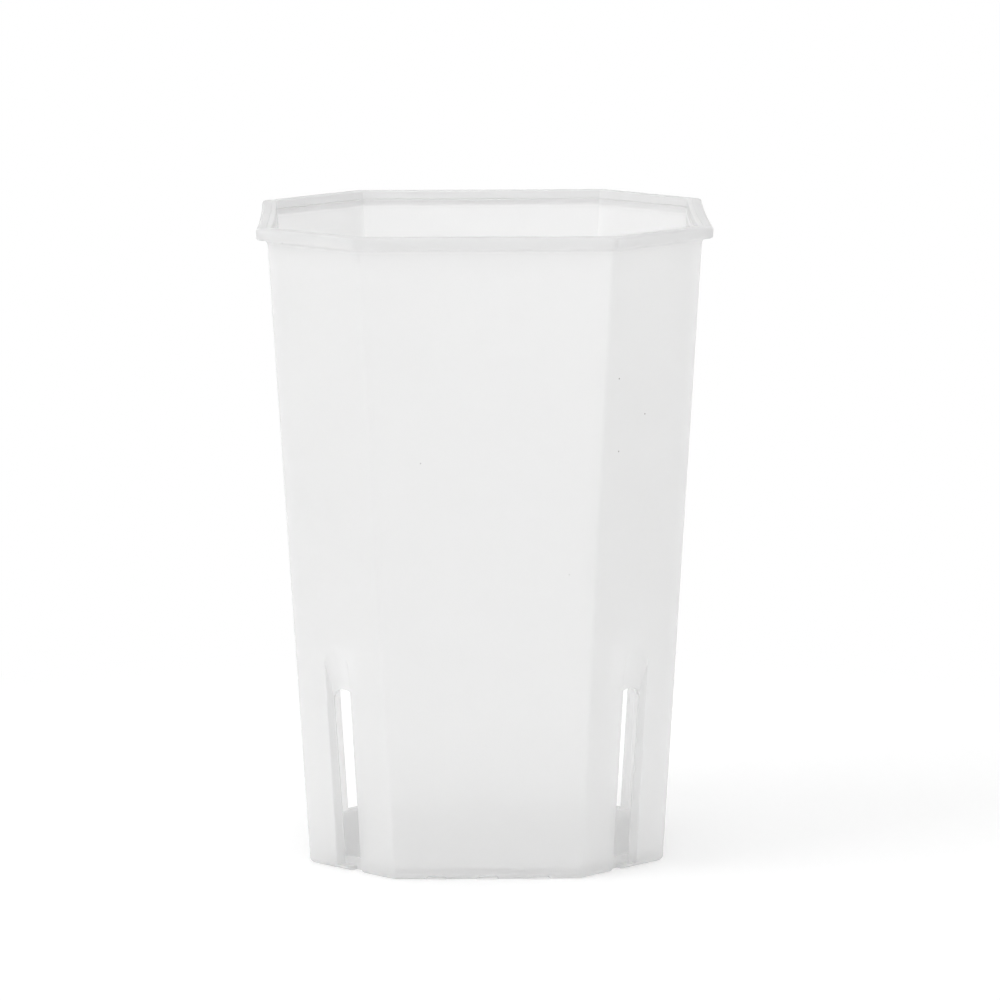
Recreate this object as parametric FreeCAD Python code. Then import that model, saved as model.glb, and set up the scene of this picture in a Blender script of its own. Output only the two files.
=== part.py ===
import FreeCAD, Part
import math
import os

# Orchid pot: square with cut corners, with a recessed slot channel in each cut corner.
# The origin is in the middle of the foot, on the ground. The front faces -Y, and Z is up.
# Lengths are millimetres and angles are degrees.

# Overall sizes. A flat is the straight side between two cut corners. The top width and
# flat are the body's own, without the rim, where its slope meets the rim's upper face.
pot_height = 129.0
top_width = 86.0
top_flat = 50.0
base_width = 70.8
base_flat = 37.2

# Moulded wall, with the outside radius of its upright edges and of its bottom edge
wall = 1.0
edge_radius = 1.5
base_radius = 1.1

# Rim flange round the mouth, standing out by its overhang on every side
rim_overhang = 2.0
rim_height = 2.5
rim_corner_radius = 1.5
rim_edge_radius = 0.7
rim_cove_radius = 0.9

# Foot that the pot stands on, with its drainage notches
foot_height = 0.9
foot_width = 2.6
notch_width = 3.5
notch_height = 0.6
notch_pitch = 10.3
notches_per_side = 3

# Floor and its drain holes
floor_thickness = 1.0
drain_diameter = 5.0
drain_circle_radius = 18.0
drains_on_circle = 8

# Slot channels. Depths are measured square to the cut corner's face.
channel_width = 6.4
channel_depth_low = 2.65
channel_depth_high = 2.2
sill_height = 2.5
window_shoulder = 35.0
window_crown = 37.0
scoop_shoulder = 41.5
scoop_top = 46.0
scoop_bulge_share = 0.06
toe_height = 0.8

# The inner poles of a four-pole arch stand this share of its rise above its ends.
arch_pole_share = 4 / 3

# A rounding that follows the whole tapered outline is lofted through this many bands.
rounding_bands = 3

# Cutting bodies run past the faces that they cut by this much.
overrun = 5.0
# The pieces of a side reach this far in from its face, past the channels.
side_reach = 8.0

quarters = 4
full_turn = 360.0
quarter_turn = full_turn / quarters
corner_turn = quarter_turn / 2
half_corner = math.radians(corner_turn / 2)

centre = FreeCAD.Vector(0, 0, 0)
up = FreeCAD.Vector(0, 0, 1)


def turned(shape, angle):
    """A copy of a shape, turned about the pot's axis."""
    copy = shape.copy()
    copy.rotate(centre, up, angle)
    return copy


def at_corners(shape):
    """Copies of a shape made for a cut corner facing +X, one at each of the four corners."""
    return [turned(shape, quarter_turn * corner - corner_turn) for corner in range(quarters)]


def level_slab(low, high):
    """A block wider than the pot between two heights."""
    half = top_width + base_width
    corner = FreeCAD.Vector(-half, -half, low)
    return Part.makeBox(2 * half, 2 * half, high - low, corner)


def width_at(z):
    """The body's width across its flat sides at one height."""
    return base_width + (top_width - base_width) * z / pot_height


def flat_at(z):
    """The length of the body's flat side at one height."""
    return base_flat + (top_flat - base_flat) * z / pot_height


def corner_distance(z):
    """How far a cut corner's face is from the axis at one height."""
    return (width_at(z) + flat_at(z)) / 2 * math.cos(math.radians(corner_turn))


def corner_face_length(z):
    """The length of a cut corner's face, seen from above, at one height."""
    return (width_at(z) - flat_at(z)) / 2 / math.cos(math.radians(corner_turn))


def channel_floor(z):
    """How far a channel's recessed face is from the axis at one height."""
    depth = channel_depth_low + (channel_depth_high - channel_depth_low) * z / window_shoulder
    return corner_distance(z) - depth


def octagon(width, flat, radius, z):
    """A level outline: a square with cut corners, with its eight turns rounded."""
    corners = []
    for quarter in range(quarters):
        turn = FreeCAD.Rotation(up, quarter_turn * quarter)
        for side in (-flat / 2, flat / 2):
            corners.append(turn.multVec(FreeCAD.Vector(width / 2, side, z)))
    setback = radius * math.tan(half_corner)
    crest = radius / math.cos(half_corner) - radius
    arcs = []
    for index, corner in enumerate(corners):
        before = (corners[index - 1] - corner).normalize()
        after = (corners[(index + 1) % len(corners)] - corner).normalize()
        inward = (before + after).normalize()
        arcs.append((corner + before * setback, corner + inward * crest, corner + after * setback))
    edges = []
    for index, (start, middle, end) in enumerate(arcs):
        following = arcs[(index + 1) % len(arcs)][0]
        edges.append(Part.Arc(start, middle, end).toShape())
        edges.append(Part.LineSegment(end, following).toShape())
    return Part.Wire(edges)


def grown_octagon(spread, radius, z):
    """The body's outline at one height, moved out square to every side by a spread."""
    width = width_at(z) + 2 * spread
    flat = flat_at(z) + 2 * spread * math.tan(half_corner)
    return octagon(width, flat, radius, z)


def tapered_block(inset, radius, low, high):
    """The body's tapered block between two heights, drawn in by an inset on every side."""
    wires = [grown_octagon(-inset, radius, z) for z in (low, high)]
    return Part.makeLoft(wires, True, True)


def quarter_round(radius):
    """Points of a quarter circle from (0, 0), where it is upright, to (radius, radius)."""
    points = []
    for band in range(rounding_bands + 1):
        angle = math.radians(quarter_turn * band / rounding_bands)
        points.append((radius - radius * math.cos(angle), radius * math.sin(angle)))
    return points


def outer_body():
    """The body's outside as a solid block, with its rounded bottom edge."""
    rings = []
    for inward, fall in reversed(quarter_round(base_radius)):
        rings.append(grown_octagon(-inward, edge_radius, base_radius - fall))
    rings.append(grown_octagon(0, edge_radius, pot_height))
    return Part.makeLoft(rings, True, True)


def arched_plate(half_width, low, shoulder, crown):
    """An upright plate through a cut corner facing +X, with a smooth arch for its top."""
    inner = corner_distance(0) - side_reach
    outer = corner_distance(pot_height) + overrun
    pole = shoulder + (crown - shoulder) * arch_pole_share
    outline = [(-half_width, shoulder), (-half_width, pole), (half_width, pole), (half_width, shoulder)]
    poles = [FreeCAD.Vector(inner, y, z) for y, z in outline]
    arch = Part.BezierCurve()
    arch.setPoles(poles)
    foot_right = FreeCAD.Vector(inner, half_width, low)
    foot_left = FreeCAD.Vector(inner, -half_width, low)
    edges = [
        arch.toShape(),
        Part.LineSegment(poles[-1], foot_right).toShape(),
        Part.LineSegment(foot_right, foot_left).toShape(),
        Part.LineSegment(foot_left, poles[0]).toShape(),
    ]
    return Part.Face(Part.Wire(edges)).extrude(FreeCAD.Vector(outer - inner, 0, 0))


def channel_solid(grown):
    """What a channel takes out of a cut corner facing +X, grown by a thickness.

    Its side view runs up the recessed face and then curves out to the surface, as a
    scoop. Its front view has an arched top. The solid is what lies within both views.
    """
    half_width = channel_width / 2 + grown
    top = scoop_top + grown
    outer = corner_distance(top) + overrun
    low = FreeCAD.Vector(channel_floor(-overrun) - grown, -half_width, -overrun)
    bend = FreeCAD.Vector(channel_floor(window_shoulder) - grown, -half_width, window_shoulder)
    tip = FreeCAD.Vector(corner_distance(top), -half_width, top)
    chord = tip - bend
    bulge = FreeCAD.Vector(-chord.z, 0, chord.x) * scoop_bulge_share
    outer_top = FreeCAD.Vector(outer, -half_width, top)
    outer_low = FreeCAD.Vector(outer, -half_width, -overrun)
    edges = [
        Part.LineSegment(low, bend).toShape(),
        Part.Arc(bend, (bend + tip) / 2 + bulge, tip).toShape(),
        Part.LineSegment(tip, outer_top).toShape(),
        Part.LineSegment(outer_top, outer_low).toShape(),
        Part.LineSegment(outer_low, low).toShape(),
    ]
    side_view = Part.Face(Part.Wire(edges))
    slab = side_view.extrude(FreeCAD.Vector(0, 2 * half_width, 0))
    return slab.common(arched_plate(half_width, -overrun, scoop_shoulder, top))


def side_space(distance_of, length_of):
    """The space above the foot that belongs to a side facing +X.

    distance_of and length_of give the side's distance from the axis and its length, at
    a height. Where two sides meet, a flat face along the shared edge parts their spaces.
    """
    wires = []
    for z in (foot_height, pot_height):
        points = []
        for along, way in ((overrun, -1), (overrun, 1), (-side_reach, 1), (-side_reach, -1)):
            x = distance_of(z) + along * math.cos(half_corner)
            y = way * (length_of(z) / 2 + along * math.sin(half_corner))
            points.append(FreeCAD.Vector(x, y, z))
        wires.append(Part.makePolygon(points + points[:1]))
    return Part.makeLoft(wires, True, True)


def moulded_skin(body, bumps, hollows):
    """The wall from the foot to the mouth, with its channels, before it is parted."""
    cavity = tapered_block(wall, edge_radius - wall, -overrun, pot_height + overrun)
    window = arched_plate(channel_width / 2, sill_height, window_shoulder, window_crown)
    skin = body.cut(cavity.cut(bumps)).cut(hollows).cut(at_corners(window))
    return skin.common(level_slab(foot_height, pot_height))


def channel_toe(body, corner):
    """The ledge that closes the half of a channel's mouth nearer the pot's left or right."""
    base = FreeCAD.Vector(channel_floor(0), 0, 0)
    toe = Part.makeBox(channel_depth_low + overrun, channel_width / 2, toe_height, base)
    if corner % 2:
        toe = toe.mirror(centre, FreeCAD.Vector(0, 1, 0))
    return turned(toe, quarter_turn * corner - corner_turn).common(body)


def foot_ring(body, bumps, hollows):
    """The edge that the pot stands on, with drainage notches and the channels' toes."""
    recess = tapered_block(foot_width, wall, -overrun, foot_height + overrun)
    ring = body.common(level_slab(0, foot_height)).cut(recess.cut(bumps)).cut(hollows)
    notches = []
    for number in range(notches_per_side):
        middle = (number - (notches_per_side - 1) / 2) * notch_pitch
        base = FreeCAD.Vector(base_width / 2 - foot_width - wall, middle - notch_width / 2, -overrun)
        notch = Part.makeBox(foot_width + overrun, notch_width, notch_height + overrun, base)
        for quarter in range(quarters):
            notches.append(turned(notch, quarter_turn * quarter))
    toes = [channel_toe(body, corner) for corner in range(quarters)]
    return ring.cut(notches).fuse(toes).removeSplitter()


def floor_plate(bumps):
    """The floor between the walls: a drain hole in the middle and a ring of them round it."""
    top = foot_height + floor_thickness
    plate = tapered_block(wall, edge_radius - wall, foot_height, top).cut(bumps)
    drain = Part.makeCylinder(drain_diameter / 2, floor_thickness + 2 * overrun)
    drain.translate(FreeCAD.Vector(0, 0, foot_height - overrun))
    drains = [drain]
    for number in range(drains_on_circle):
        outer_drain = drain.copy()
        outer_drain.translate(FreeCAD.Vector(drain_circle_radius, 0, 0))
        drains.append(turned(outer_drain, full_turn * number / drains_on_circle))
    return plate.cut(drains)


def rim_flange(body):
    """The flange round the mouth: rounded outside, and coved into the wall below it."""
    low = pot_height - rim_height
    outline = Part.Face(grown_octagon(rim_overhang, rim_corner_radius, pot_height))
    flange = outline.extrude(FreeCAD.Vector(0, 0, -rim_height))
    level = [edge for edge in flange.Edges if edge.BoundBox.ZLength < rim_edge_radius]
    flange = flange.makeFillet(rim_edge_radius, level)
    rings = []
    for outward, rise in quarter_round(rim_cove_radius):
        rings.append(grown_octagon(outward, edge_radius, low - rim_cove_radius + rise))
    cove = Part.makeLoft(rings, True, True)
    return flange.fuse(cove).cut(body).removeSplitter()


def save(name, shape):
    """Writes one piece to its own file."""
    solids = shape.Solids
    print(name, "solids", len(solids), "volume", round(shape.Volume, 1))
    piece = solids[0] if len(solids) == 1 else Part.makeCompound(solids)
    piece.exportStep("parts/" + name + ".step")


def build():
    os.makedirs("parts", exist_ok=True)
    body = outer_body()
    bumps = at_corners(channel_solid(wall))
    hollows = at_corners(channel_solid(0))
    skin = moulded_skin(body, bumps, hollows)

    side = side_space(lambda z: width_at(z) / 2, flat_at)
    for quarter, name in enumerate(("right", "back", "left", "front")):
        save(name + "_wall", skin.common(turned(side, quarter_turn * quarter)))

    corner_spaces = at_corners(side_space(corner_distance, corner_face_length))
    channel_plate = arched_plate(channel_width / 2 + wall, -overrun, scoop_shoulder, scoop_top + wall)
    channel_spaces = at_corners(channel_plate)
    for corner, name in enumerate(("front_right", "back_right", "back_left", "front_left")):
        corner_skin = skin.common(corner_spaces[corner])
        save(name + "_corner_wall", corner_skin.cut(channel_spaces[corner]))
        save(name + "_slot_channel", corner_skin.common(channel_spaces[corner]))

    save("foot_ring", foot_ring(body, bumps, hollows))
    save("floor_plate", floor_plate(bumps))
    save("rim_flange", rim_flange(body))


build()
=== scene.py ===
import math

import bpy
import numpy as np
from mathutils import Matrix, Vector
from mathutils.geometry import delaunay_2d_cdt


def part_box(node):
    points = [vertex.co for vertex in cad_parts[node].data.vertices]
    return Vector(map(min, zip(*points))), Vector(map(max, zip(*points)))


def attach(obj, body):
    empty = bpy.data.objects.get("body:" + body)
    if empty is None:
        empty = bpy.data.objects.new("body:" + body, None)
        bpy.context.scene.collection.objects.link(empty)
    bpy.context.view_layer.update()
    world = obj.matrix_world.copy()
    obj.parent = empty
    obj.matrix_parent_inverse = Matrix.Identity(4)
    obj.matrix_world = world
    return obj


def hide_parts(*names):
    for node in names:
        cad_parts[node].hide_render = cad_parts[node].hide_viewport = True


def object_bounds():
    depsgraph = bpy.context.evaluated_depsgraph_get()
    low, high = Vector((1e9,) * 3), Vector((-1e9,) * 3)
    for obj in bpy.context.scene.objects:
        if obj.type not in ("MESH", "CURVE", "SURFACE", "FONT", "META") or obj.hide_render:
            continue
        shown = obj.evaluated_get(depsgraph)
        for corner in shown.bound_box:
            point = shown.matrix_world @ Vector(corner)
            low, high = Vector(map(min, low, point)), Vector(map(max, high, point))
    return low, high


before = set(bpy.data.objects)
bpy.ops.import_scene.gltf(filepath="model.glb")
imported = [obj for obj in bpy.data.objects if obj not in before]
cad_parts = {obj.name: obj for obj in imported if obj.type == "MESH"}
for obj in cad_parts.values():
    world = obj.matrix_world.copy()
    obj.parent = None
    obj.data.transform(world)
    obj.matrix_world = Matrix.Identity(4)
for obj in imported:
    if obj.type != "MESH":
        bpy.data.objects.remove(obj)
cad_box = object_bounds()


# The pot is one injection moulding of natural polypropylene, with a wall one millimetre
# thick. In plan it is a square with cut corners, and it tapers to its foot. It is built
# as the closed skin of a quarter, from the middle of the front to the middle of the right.
mm = 0.001
pot_height = cad_box[1].z
rim_overhang = 2.0 * mm
top_half = cad_box[1].x - rim_overhang
top_half_flat = 25.0 * mm
base_half = 35.4 * mm
base_half_flat = 18.6 * mm
wall = 1.0 * mm
edge_radius = 1.5 * mm
inner_edge_radius = 0.5 * mm
wall_bow = 0.3 * mm
corner_angle = math.radians(45)
setback_share = math.tan(corner_angle / 2)


def half_width(z):
    return base_half + (top_half - base_half) * z / pot_height


def half_flat(z):
    return base_half_flat + (top_half_flat - base_half_flat) * z / pot_height


def corner_distance(z):
    """How far a cut corner's face is from the pot's axis at one height."""
    return (half_width(z) + half_flat(z)) * math.cos(corner_angle)


def bow(share, z):
    """How far a flat side has drawn in while it cooled: most in its middle, near the mouth."""
    return wall_bow * (1 - share * share) * (z / pot_height) ** 2


def on_corner(n, t):
    """A place on a level of the cut corner: n from the pot's axis, and t to the right."""
    return (n + t) * math.cos(corner_angle), (t - n) * math.cos(corner_angle)


# Each cut corner has a channel that starts as a round-topped scoop and runs down through
# the bottom edge, a little nearer to the pot's side. An arched slot above a sill opens it
# to the inside, and a low toe closes half of its mouth.
channel_half = 3.3 * mm
channel_depth_low = 2.2 * mm
channel_depth_high = 1.75 * mm
mouth_radius = 0.3 * mm
root_radius = 0.12 * mm
inner_mouth_radius = 0.3 * mm
channel_shift = 0.7 * mm
channel_zone = channel_half + wall + 2 * inner_mouth_radius
slot_half = channel_half - root_radius
slot_flare = 1.18
slot_wall = 0.75 * mm
sill_height = 2.5 * mm
slot_shoulder = 35.0 * mm
slot_crown = 37.0 * mm
scoop_top = 46.5 * mm
scoop_round = 0.5
scoop_power = 1.5
mouth_steps = (0, 30, 60, 90)
root_steps = (0, 30, 60)
middle_steps = (0, 12, 24, 36, 48, 60, 75, 89.9)
toe_height = 0.8 * mm
step_gap = 0.01 * mm


def arch_drop(t):
    """How far a half-round arch over the slot has fallen at t, as a share of its rise."""
    share = min(abs(t) / slot_half, 1)
    return 1 - math.sqrt(1 - share * share)


def channel_depth(t, z):
    """The channel's depth: it gets less up the wall, then fades out as a scoop."""
    up = min(max(z / slot_shoulder, 0), 1)
    depth = channel_depth_low + (channel_depth_high - channel_depth_low) * up
    along = max((z - slot_shoulder) / (scoop_top - slot_shoulder), 0)
    along = min(along * (1 + scoop_round * arch_drop(t)), 1)
    return depth * (1 - along * along) ** scoop_power


def channel_stations():
    """Places across half a channel, from beside it to its middle.

    Each is (t, share of the depth) on the outside, then the same on the inside.
    """
    full = channel_depth_low
    stations = [(channel_zone, 0, channel_zone, 0)]
    for a in np.radians(mouth_steps):
        t = channel_half + mouth_radius * (1 - math.sin(a))
        depth = mouth_radius * (1 - math.cos(a))
        t_inside = channel_half + wall + inner_mouth_radius * (1 - math.sin(a))
        depth_inside = inner_mouth_radius * (1 - math.cos(a))
        stations.append((t, depth / full, t_inside, depth_inside / full))
    for a in np.radians(root_steps):
        t = slot_half + root_radius * math.cos(a)
        depth = full - root_radius * (1 - math.sin(a))
        t_inside = slot_half + (root_radius + wall) * math.cos(a)
        depth_inside = full - wall + slot_wall - (root_radius + wall) * (1 - math.sin(a))
        stations.append((t, depth / full, t_inside, depth_inside / full))
    for a in np.radians(middle_steps):
        t = slot_half * math.cos(a)
        stations.append((t, 1, t * slot_flare, 1 + (slot_wall - wall) / full))
    return stations


# The pot stands on the edge of its foot, whose flat sides have three shallow notches
# each, so that water can run out from under the floor. The floor is one millimetre
# thick, with nine drain holes: one in the middle and eight around it.
foot_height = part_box("floor_plate")[0].z
floor_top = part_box("floor_plate")[1].z
foot_width = 2.6 * mm
base_radius = 1.1 * mm
floor_cove = sill_height - floor_top
notch_half = 1.75 * mm
notch_height = 0.6 * mm
notch_slope = 0.35 * mm
notch_pitch = 10.3 * mm
drain_radius = 2.5 * mm
drain_circle = 18.0 * mm
drain_slant = drain_circle * math.cos(corner_angle)
drain_steps = 40
same_point = step_gap / 1000
plain_from = 1.8 * mm
flat_lines = (0, 3 * mm, 5.5 * mm, 15 * mm)


def base_inset(z):
    """How far the bottom edge's rounding has drawn in at one height."""
    if z >= base_radius:
        return 0
    return base_radius - math.sqrt(base_radius ** 2 - (base_radius - z) ** 2)


def notch_rise(x):
    """How far the foot's edge is above the ground at a place along a flat side."""
    nearest = min(abs(x), abs(x - notch_pitch))
    return notch_height * min(max((notch_half + notch_slope - nearest) / notch_slope, 0), 1)


def flat_shares():
    """Where a flat side's upright lines stand, as shares of half its straight length."""
    straight = base_half_flat - edge_radius * setback_share
    places = [*flat_lines, straight]
    for middle in (0, notch_pitch):
        for edge in (notch_half, notch_half + notch_slope):
            places += [middle - edge, middle + edge]
    return [place / straight for place in sorted(places) if place >= 0]


def drain_arc(x, y, start, end, steps):
    """Points round a drain hole's edge, kept inside the quarter."""
    spots = []
    for a in np.radians(np.linspace(start, end, steps + 1)):
        right = max(x + drain_radius * math.cos(a), 0)
        back = min(y + drain_radius * math.sin(a), 0)
        spots.append((right, back))
    return spots


def drain_edges():
    """The drain holes' edges in the quarter. The last one is whole, and the rest are cut."""
    return [
        drain_arc(drain_circle, 0, 0, -180, drain_steps // 2),
        drain_arc(0, 0, 0, -90, drain_steps // 4),
        drain_arc(0, -drain_circle, 90, -90, drain_steps // 2),
        drain_arc(drain_slant, -drain_slant, 0, -360, drain_steps)[:-1],
    ]


# The mouth has a flange with a rounded edge and a cove below it. A fine line on its top
# parts the flange from the lip of the wall, and another goes round the inside below the lip.
rim_height = 2.5 * mm
rim_edge_radius = 0.7 * mm
rim_cove = 0.9 * mm
lip_radius = 0.25 * mm
line_half = 0.1 * mm
line_depth = 0.08 * mm
lip_depth = 1.7 * mm
lip_line_half = 0.15 * mm
lip_line_depth = 0.2 * mm
quarter_turn = np.radians((0, 18, 36, 54, 72, 90))
slot_levels, scoop_levels, plain_levels = 28, 26, 18


def wall_heights():
    """Levels that the outside and the inside share, close together beside the slots."""
    slot = np.linspace(sill_height, slot_crown, slot_levels)
    scoop = np.linspace(slot_crown, scoop_top, scoop_levels)[1:]
    cove_start = pot_height - rim_height - rim_cove
    plain = np.linspace(scoop_top, cove_start, plain_levels)[1:-1]
    return [float(z) for z in (*slot, *scoop, *plain)]


def outside_levels():
    """(height, inset) from the foot's underside, up the outside to the lip."""
    levels = [(0, base_radius)]
    for a in quarter_turn[1:-2]:
        z = base_radius * (1 - math.cos(a))
        levels.append((z, base_inset(z)))
    for z in (toe_height - step_gap, toe_height + step_gap):
        levels.append((z, base_inset(z)))
    levels += [(base_radius, 0), (plain_from, 0)]
    levels += [(z, 0) for z in wall_heights()]
    under = pot_height - rim_height
    for a in quarter_turn:
        levels.append((under - rim_cove * (1 - math.sin(a)), -rim_cove * (1 - math.cos(a))))
    for a in quarter_turn:
        z = under + rim_edge_radius * (1 - math.cos(a))
        reach = rim_overhang - rim_edge_radius * (1 - math.sin(a))
        levels.append((z, half_width(z) - top_half - reach))
    for a in reversed(quarter_turn):
        z = pot_height - rim_edge_radius * (1 - math.cos(a))
        reach = rim_overhang - rim_edge_radius * (1 - math.sin(a))
        levels.append((z, half_width(z) - top_half - reach))
    levels += [(pot_height, -line_half), (pot_height - line_depth, 0), (pot_height, line_half)]
    return levels


def inside_levels():
    """(height, inset) from the lip down the inside to the floor."""
    levels = []
    for a in quarter_turn:
        z = pot_height - lip_radius * (1 - math.cos(a))
        levels.append((z, wall - lip_radius * (1 - math.sin(a))))
    under_lip = pot_height - lip_depth
    levels += [(under_lip + lip_line_half, wall), (under_lip, wall - lip_line_depth)]
    levels += [(under_lip - lip_line_half, wall), (pot_height - rim_height, wall)]
    levels += [(z, wall) for z in reversed(wall_heights())]
    for a in quarter_turn[1:]:
        inset = wall + floor_cove * (1 - math.cos(a))
        levels.append((sill_height - floor_cove * math.sin(a), inset))
    return levels


# The skin is a net. Its lines up the wall stand on the front's flat, the turn beside it,
# the cut corner, the turn beside the right side, or the right side's flat. Its levels go
# under the foot, up the outside, over the lip and down the inside to the floor.
turn_shares = (0.2, 0.4, 0.6, 0.8)
face_shares = (1, 0.7, 0.4, 0.15)
bend_fade = 2
join_distance = 0.001 * mm
sharp_from = math.radians(32)


def wall_lines():
    """(part of the wall, place in it) for each line, from the front to the right."""
    lines = [("front", share) for share in flat_shares()]
    lines += [("front_turn", share) for share in turn_shares]
    lines += [("face", (-1, share)) for share in face_shares]
    lines += [("channel", (-1, station)) for station in channel_stations()]
    lines += [("channel", (1, station)) for station in reversed(channel_stations())]
    lines += [("face", (1, share)) for share in reversed(face_shares)]
    lines += [("right_turn", share) for share in reversed(turn_shares)]
    lines += [("right", share) for share in reversed(flat_shares())]
    return lines


def bend_of(z):
    """How much a level follows the slot's arched top: fully at the arch, less away from it."""
    if z > slot_crown:
        return max(0, 1 - (z - slot_crown) / (scoop_top - slot_crown))
    return max(0, 1 - bend_fade * (slot_crown - z) / (slot_crown - sill_height))


def flat_place(side, share, z, inset):
    """Where a line on a flat side meets a level. The notches lift the foot's edge."""
    if z < base_radius and inset <= foot_width:
        rise = notch_rise(share * (base_half_flat - edge_radius * setback_share))
        lifted = rise + z * (base_radius - rise) / base_radius
        if inset < foot_width:
            inset = base_inset(lifted)
            z = lifted
        elif z == 0:
            z = rise
    radius = max(edge_radius - max(inset, 0), inner_edge_radius)
    along = (half_flat(z) - (inset + radius) * setback_share) * share
    out = half_width(z) - inset - bow(share, z)
    return (along, -out, z) if side == "front" else (out, -along, z)


def turn_place(side, share, z, inset):
    """Where a line on the rounded turn between a flat side and the corner meets a level."""
    radius = max(edge_radius - max(inset, 0), inner_edge_radius)
    straight = half_flat(z) - (inset + radius) * setback_share
    along = straight + radius * math.sin(corner_angle * share)
    out = half_width(z) - inset - radius + radius * math.cos(corner_angle * share)
    return (along, -out, z) if side == "front_turn" else (out, -along, z)


def face_place(hand, share, z, inset):
    """Where a line on the plain part of the cut corner meets a level."""
    radius = max(edge_radius - max(inset, 0), inner_edge_radius)
    z -= bend_of(z) * (slot_crown - slot_shoulder) * (1 - share)
    half_sharp = (half_width(z) - half_flat(z)) * math.cos(corner_angle)
    half_face = half_sharp - (inset + radius) * setback_share
    start = channel_zone + hand * channel_shift
    t = start + (half_face - start) * share
    return (*on_corner(corner_distance(z) - inset, hand * t), z)


def channel_place(hand, station, z, inset, skin):
    """Where a line across the channel meets a level of the outside, the inside or the foot."""
    t, share = station[:2] if skin == "outside" else station[2:]
    if skin != "outside" or z > toe_height or hand < 0:
        z -= bend_of(z) * (slot_crown - slot_shoulder) * arch_drop(t)
        cut = share * channel_depth(t, z)
        if skin == "outside" and z < base_radius:
            inset += share * (channel_depth_low - inset)
        elif skin == "foot":
            inset = max(inset, wall + cut)
        else:
            inset += cut
    return (*on_corner(corner_distance(z) - inset, hand * t + channel_shift), z)


def skin_place(line, level):
    """Where any line meets any level."""
    part, where = line
    if part == "channel":
        return channel_place(*where, *level)
    if part == "face":
        return face_place(*where, *level[:2])
    if part in ("front", "right"):
        return flat_place(part, where, *level[:2])
    return turn_place(part, where, *level[:2])


def quarter_skin():
    """The quarter's points and faces."""
    lines = wall_lines()
    levels = [(foot_height, foot_width, "foot"), (0, foot_width, "foot")]
    levels += [(z, inset, "outside") for z, inset in outside_levels()]
    levels += [(z, inset, "inside") for z, inset in inside_levels()]
    wide = len(lines)
    points = [skin_place(line, level) for level in levels for line in lines]

    slot_lines = []
    for i, (part, where) in enumerate(lines):
        if part == "channel" and where[1][1] == 1:
            slot_lines.append(i)
    left, right = slot_lines[0], slot_lines[-1]
    sills = [i for i, level in enumerate(levels) if level[0] == sill_height]
    slot_steps = sum(1 for z in wall_heights() if z < slot_crown)
    open_outside = range(sills[0], sills[0] + slot_steps)
    open_inside = range(sills[1] - slot_steps, sills[1])
    faces = []
    for level in range(len(levels) - 1):
        in_slot = level in open_outside or level in open_inside
        for line in range(wide - 1):
            if not (in_slot and left <= line < right):
                corner = level * wide + line
                faces.append((corner, corner + 1, corner + wide + 1, corner + wide))

    edge = [(0, line) for line in range(left, right)]
    edge += [(step, right) for step in range(slot_steps)]
    edge += [(slot_steps, line) for line in range(right, left, -1)]
    edge += [(step, left) for step in range(slot_steps, 0, -1)]
    outer = [(sills[0] + step) * wide + line for step, line in edge]
    inner = [(sills[1] - step) * wide + line for step, line in edge]
    for k in range(len(edge)):
        faces.append((outer[k - 1], outer[k], inner[k], inner[k - 1]))

    add_floor(points, faces, wide, len(levels))
    return points, faces


def add_floor(points, faces, wide, deep):
    """Adds the floor's two faces, between the skin's edges, and its drain holes."""
    rims = []
    for z in (floor_top, foot_height):
        rims.append([])
        for edge in drain_edges():
            rims[-1].append(list(range(len(points), len(points) + len(edge))))
            points.extend((x, y, z) for x, y in edge)
    for start, rim, up in (((deep - 1) * wide, rims[0], True), (0, rims[1], False)):
        outline = [*range(start, start + wide), *rim[0], *rim[1], *rim[2]]
        known = outline + rim[3]
        sides = [(k - 1, k) for k in range(1, len(outline))] + [(len(outline) - 1, 0)]
        sides += [(k - 1, k) for k in range(len(outline) + 1, len(known))]
        sides.append((len(known) - 1, len(outline)))
        flat = [Vector(points[i][:2]) for i in known]
        spots, _, triangles, sources, _, _ = delaunay_2d_cdt(flat, sides, [], 1, same_point)
        for triangle in triangles:
            middle = sum((spots[i] for i in triangle), Vector((0, 0))) / 3
            if math.dist(middle, (drain_slant, -drain_slant)) > drain_radius:
                corners = [known[sources[i][0]] for i in triangle]
                faces.append(tuple(corners if up else reversed(corners)))
    for top, low in zip(*rims):
        steps = len(top) if top == rims[0][-1] else len(top) - 1
        for k in range(steps):
            after = (k + 1) % len(top)
            faces.append((top[k], low[k], low[after], top[after]))


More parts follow.
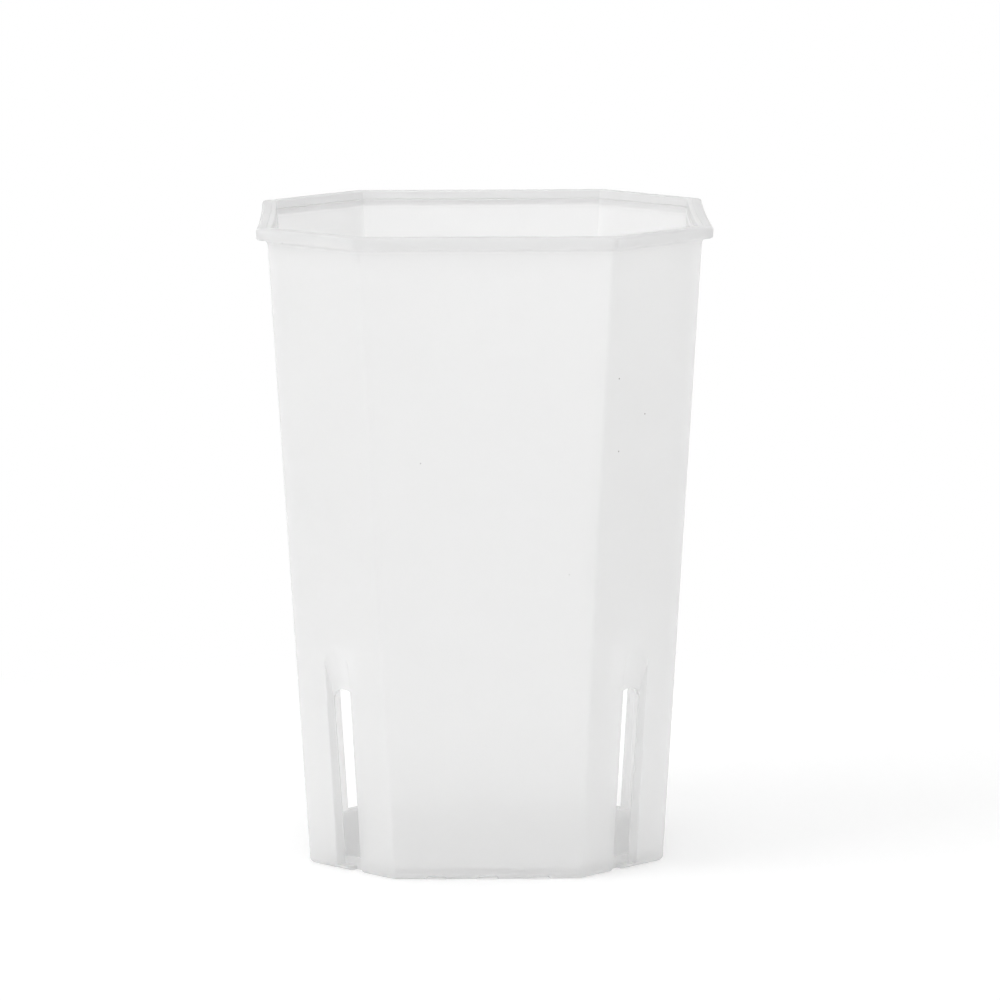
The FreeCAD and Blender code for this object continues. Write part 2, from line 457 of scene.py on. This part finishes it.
def mirror_tree():
    """The nodes that mirror the quarter to the left and to the back, and join the four."""
    tree = bpy.data.node_groups.new("quarters_to_pot", "GeometryNodeTree")
    sockets = tree.interface
    sockets.new_socket("Quarter", in_out="INPUT", socket_type="NodeSocketGeometry")
    join = sockets.new_socket("Join distance", in_out="INPUT", socket_type="NodeSocketFloat")
    finish = sockets.new_socket("Plastic", in_out="INPUT", socket_type="NodeSocketMaterial")
    sockets.new_socket("Pot", in_out="OUTPUT", socket_type="NodeSocketGeometry")
    start = tree.nodes.new("NodeGroupInput")
    last = start.outputs["Quarter"]
    for flip in ((-1, 1, 1), (1, -1, 1)):
        turned = tree.nodes.new("GeometryNodeTransform")
        turned.inputs["Scale"].default_value = flip
        facing = tree.nodes.new("GeometryNodeFlipFaces")
        both = tree.nodes.new("GeometryNodeJoinGeometry")
        tree.links.new(last, turned.inputs["Geometry"])
        tree.links.new(turned.outputs["Geometry"], facing.inputs["Mesh"])
        tree.links.new(facing.outputs["Mesh"], both.inputs["Geometry"])
        tree.links.new(last, both.inputs["Geometry"])
        last = both.outputs["Geometry"]
    merge = tree.nodes.new("GeometryNodeMergeByDistance")
    real = tree.nodes.new("GeometryNodeRealizeInstances")
    dress = tree.nodes.new("GeometryNodeSetMaterial")
    end = tree.nodes.new("NodeGroupOutput")
    tree.links.new(last, merge.inputs["Geometry"])
    tree.links.new(start.outputs["Join distance"], merge.inputs["Distance"])
    tree.links.new(merge.outputs["Geometry"], real.inputs["Geometry"])
    tree.links.new(real.outputs["Geometry"], dress.inputs["Geometry"])
    tree.links.new(start.outputs["Plastic"], dress.inputs["Material"])
    tree.links.new(dress.outputs["Geometry"], end.inputs["Pot"])
    return tree, join.identifier, finish.identifier


# The plastic lets some light straight through, scatters some inside and sends the rest
# back. It is milkier where it is thick, in the rim. There its colour is also greyer, which
# is painted shade for the less light that comes through the thick plastic. It has a fine
# matt grain from the mould, with a few specks of dust.
wall_colour = (0.97, 0.97, 0.97, 1)
# The rim's greyer colour is painted shade, not a colour of the plastic itself.
rim_shade_colour = (0.91, 0.91, 0.91, 1)
speck_colour = (0.12, 0.11, 0.10, 1)
wall_alpha, thick_alpha = 0.6, 0.88
clearness = 0.5
bending = 1.49
smoothest, roughest = 0.38, 0.52
cloud_scale, cloud_detail = 45, 3
speck_scale = 110
speck_size = (0.020, 0.014)
grain_scale, grain_detail = 2500, 2
grain_strength = 0.4
grain_depth = 0.05 * mm


def frosted_plastic():
    """The pot's milky polypropylene."""
    material = bpy.data.materials.new("frosted_plastic")
    material.use_nodes = True
    nodes, links = material.node_tree.nodes, material.node_tree.links
    shader = nodes["Principled BSDF"]
    shader.inputs["IOR"].default_value = bending
    shader.inputs["Transmission Weight"].default_value = clearness
    place = nodes.new("ShaderNodeTexCoord").outputs["Object"]

    def graded(source, source_ends, ends):
        """A value that goes from one end to the other as its source does."""
        node = nodes.new("ShaderNodeMapRange")
        node.inputs["From Min"].default_value, node.inputs["From Max"].default_value = source_ends
        node.inputs["To Min"].default_value, node.inputs["To Max"].default_value = ends
        links.new(source, node.inputs["Value"])
        return node.outputs["Result"]

    def pattern(kind, scale, detail=None):
        """A pattern that stays in its place on the pot."""
        node = nodes.new(kind)
        node.inputs["Scale"].default_value = scale
        if detail:
            node.inputs["Detail"].default_value = detail
        links.new(place, node.inputs["Vector"])
        return node

    height = nodes.new("ShaderNodeSeparateXYZ")
    links.new(place, height.inputs["Vector"])
    rim_start = pot_height - rim_height
    in_rim = graded(height.outputs["Z"], (rim_start - rim_cove, rim_start), (0, 1))

    # Towards the rim the colour turns greyer: painted shade for the thick plastic there.
    milk_and_rim_shade = nodes.new("ShaderNodeMix")
    milk_and_rim_shade.data_type = "RGBA"
    milk_and_rim_shade.inputs["A"].default_value = wall_colour
    milk_and_rim_shade.inputs["B"].default_value = rim_shade_colour
    links.new(in_rim, milk_and_rim_shade.inputs["Factor"])
    speck = pattern("ShaderNodeTexVoronoi", speck_scale)
    specked = nodes.new("ShaderNodeMix")
    specked.data_type = "RGBA"
    specked.inputs["B"].default_value = speck_colour
    links.new(graded(speck.outputs["Distance"], speck_size, (0, 1)), specked.inputs["Factor"])
    links.new(milk_and_rim_shade.outputs["Result"], specked.inputs["A"])
    links.new(specked.outputs["Result"], shader.inputs["Base Color"])
    cloud = pattern("ShaderNodeTexNoise", cloud_scale, cloud_detail)
    roughness = graded(cloud.outputs["Fac"], (0, 1), (smoothest, roughest))
    links.new(roughness, shader.inputs["Roughness"])
    alpha = graded(in_rim, (0, 1), (wall_alpha, thick_alpha))
    links.new(alpha, shader.inputs["Alpha"])

    grain = pattern("ShaderNodeTexNoise", grain_scale, grain_detail)
    bump = nodes.new("ShaderNodeBump")
    bump.inputs["Strength"].default_value = grain_strength
    bump.inputs["Distance"].default_value = grain_depth
    links.new(grain.outputs["Fac"], bump.inputs["Height"])
    links.new(bump.outputs["Normal"], shader.inputs["Normal"])
    return material


quarter = bpy.data.meshes.new("pot_quarter")
quarter_points, quarter_faces = quarter_skin()
quarter.from_pydata(quarter_points, [], quarter_faces)
pot = bpy.data.objects.new("pot_moulding", quarter)
bpy.context.collection.objects.link(pot)
mirrors = pot.modifiers.new("mirrors", "NODES")
mirrors.node_group, join_input, plastic_input = mirror_tree()
mirrors[join_input] = join_distance
mirrors[plastic_input] = frosted_plastic()
bpy.context.view_layer.update()
whole = bpy.data.meshes.new_from_object(pot.evaluated_get(bpy.context.evaluated_depsgraph_get()))
pot.modifiers.clear()
pot.data = whole
whole.shade_smooth()
whole.set_sharp_from_angle(angle=sharp_from)
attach(pot, "root")
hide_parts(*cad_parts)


# The pot stands on a white surface that curves up behind it in the studio. To the camera,
# and through the plastic, both are plain white, apart from the pot's own soft shadow.
sweep_reach = 3.0
shadow_reach = (0.10, 0.22)
sweep_colour = (0.96, 0.96, 0.96, 1)
sweep_glow = 0.08
sweep_roughness = 0.9
room_light = 0.91


def seen_directly(nodes, links):
    """One for what the camera sees, also in a gloss or through the plastic, and else none."""
    rays = nodes.new("ShaderNodeLightPath")
    last = rays.outputs["Is Camera Ray"]
    for kind in ("Is Glossy Ray", "Is Transmission Ray"):
        either = nodes.new("ShaderNodeMath")
        either.operation = "MAXIMUM"
        links.new(last, either.inputs[0])
        links.new(rays.outputs[kind], either.inputs[1])
        last = either.outputs["Value"]
    return last


sweep = bpy.data.materials.new("white_sweep")
sweep.use_nodes = True
nodes, links = sweep.node_tree.nodes, sweep.node_tree.links
paper = nodes["Principled BSDF"]
paper.inputs["Base Color"].default_value = sweep_colour
paper.inputs["Roughness"].default_value = sweep_roughness
paper.inputs["Specular IOR Level"].default_value = 0
paper.inputs["Emission Color"].default_value = (1, 1, 1, 1)
seen = seen_directly(nodes, links)
glow = nodes.new("ShaderNodeMath")
glow.operation = "MULTIPLY"
glow.inputs[1].default_value = sweep_glow
links.new(seen, glow.inputs[0])
links.new(glow.outputs["Value"], paper.inputs["Emission Strength"])
place = nodes.new("ShaderNodeTexCoord")
from_pot = nodes.new("ShaderNodeVectorMath")
from_pot.operation = "LENGTH"
links.new(place.outputs["Object"], from_pot.inputs[0])
beyond = nodes.new("ShaderNodeMapRange")
beyond.interpolation_type = "SMOOTHSTEP"
beyond.inputs["From Min"].default_value = shadow_reach[0]
beyond.inputs["From Max"].default_value = shadow_reach[1]
links.new(from_pot.outputs["Value"], beyond.inputs["Value"])
plain = nodes.new("ShaderNodeMath")
plain.operation = "MULTIPLY"
links.new(beyond.outputs["Result"], plain.inputs[0])
links.new(seen, plain.inputs[1])
pure = nodes.new("ShaderNodeEmission")
surface = nodes.new("ShaderNodeMixShader")
links.new(plain.outputs["Value"], surface.inputs["Fac"])
links.new(paper.outputs["BSDF"], surface.inputs[1])
links.new(pure.outputs["Emission"], surface.inputs[2])
links.new(surface.outputs["Shader"], nodes["Material Output"].inputs["Surface"])

ground = bpy.data.meshes.new("ground")
corners = [(x * sweep_reach, y * sweep_reach, 0) for x, y in ((-1, -1), (1, -1), (1, 1), (-1, 1))]
ground.from_pydata(corners, [], [(0, 1, 2, 3)])
ground.materials.append(sweep)
floor = bpy.data.objects.new("ground", ground)
bpy.context.collection.objects.link(floor)

world = bpy.data.worlds.new("studio")
bpy.context.scene.world = world
world.use_nodes = True
nodes, links = world.node_tree.nodes, world.node_tree.links
room = nodes["Background"]
room.inputs["Color"].default_value = (1, 1, 1, 1)
room.inputs["Strength"].default_value = room_light
backdrop = nodes.new("ShaderNodeBackground")
backdrop.inputs["Color"].default_value = (1, 1, 1, 1)
choice = nodes.new("ShaderNodeMixShader")
links.new(seen_directly(nodes, links), choice.inputs["Fac"])
links.new(room.outputs["Background"], choice.inputs[1])
links.new(backdrop.outputs["Background"], choice.inputs[2])
links.new(choice.outputs["Shader"], nodes["World Output"].inputs["Surface"])


# Two wide soft lamps light the pot evenly, the left one a little more.
def soft_lamp(name, place, size, power):
    """A square lamp that points at the middle of the pot."""
    light = bpy.data.lights.new(name, "AREA")
    light.size = size
    light.energy = power
    lamp = bpy.data.objects.new(name, light)
    bpy.context.collection.objects.link(lamp)
    lamp.location = place
    toward_pot = Vector((0, 0, pot_height / 2)) - Vector(place)
    lamp.rotation_euler = toward_pot.to_track_quat("-Z", "Y").to_euler()


soft_lamp("left_lamp", (-1.2, -0.5, 0.75), 1.0, 5)
soft_lamp("right_lamp", (0.3, -1.2, 1.0), 1.0, 0.8)


# The camera stands in front of the pot and a little above it, as the photographer did.
camera_distance = 1.25
camera_elevation = math.radians(8.941)
camera_azimuth = math.radians(-0.757)
camera_roll = math.radians(-0.177)
aim = Vector((3.156 * mm, 0, 70.63 * mm))
film_width = 36
focal_length = 222.56
nearest = 0.05
away = Vector((
    math.sin(camera_azimuth) * math.cos(camera_elevation),
    -math.cos(camera_azimuth) * math.cos(camera_elevation),
    math.sin(camera_elevation),
))
level_right = (-away).cross(Vector((0, 0, 1))).normalized()
level_up = level_right.cross(-away)
right_edge = level_right * math.cos(camera_roll) + level_up * math.sin(camera_roll)
top_edge = level_up * math.cos(camera_roll) - level_right * math.sin(camera_roll)
lens = bpy.data.cameras.new("camera")
lens.sensor_width = film_width
lens.lens = focal_length
lens.clip_start = nearest
camera = bpy.data.objects.new("camera", lens)
bpy.context.collection.objects.link(camera)
turn = Matrix((right_edge, top_edge, away)).transposed().to_4x4()
camera.matrix_world = Matrix.Translation(aim + camera_distance * away) @ turn
bpy.context.scene.camera = camera

bpy.context.scene.view_settings.view_transform = "Standard"
